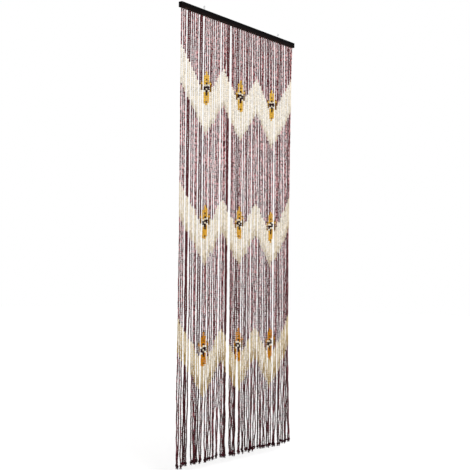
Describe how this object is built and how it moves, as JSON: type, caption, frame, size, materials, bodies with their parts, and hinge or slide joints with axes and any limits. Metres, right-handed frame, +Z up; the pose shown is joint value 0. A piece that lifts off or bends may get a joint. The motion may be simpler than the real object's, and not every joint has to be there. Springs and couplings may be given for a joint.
{
  "type": "wooden bead string door curtain on a wooden rail",
  "caption": "Door curtain of wooden bead strands with zigzag bands and small flower motifs, hanging from a black wooden rail with screw eyes.",
  "frame": {"origin": "middle of the rail's top face", "axes": "+X along the rail, -Y the curtain's front, +Z up; the strands hang towards -Z"},
  "size_m": [0.9, 0.0269, 2.0235],
  "materials": {
    "black_wood": "black paint, satin, on wood",
    "bead_wood": "dyed and varnished wooden beads: wine brown with cream, ochre, black and white beads in the pattern",
    "steel": "bright zinc plating"
  },
  "bodies": {
    "root": {"rail": "black_wood", "bead_strands": "bead_wood", "eye_left": "steel", "eye_right": "steel"}
  },
  "joints": []
}
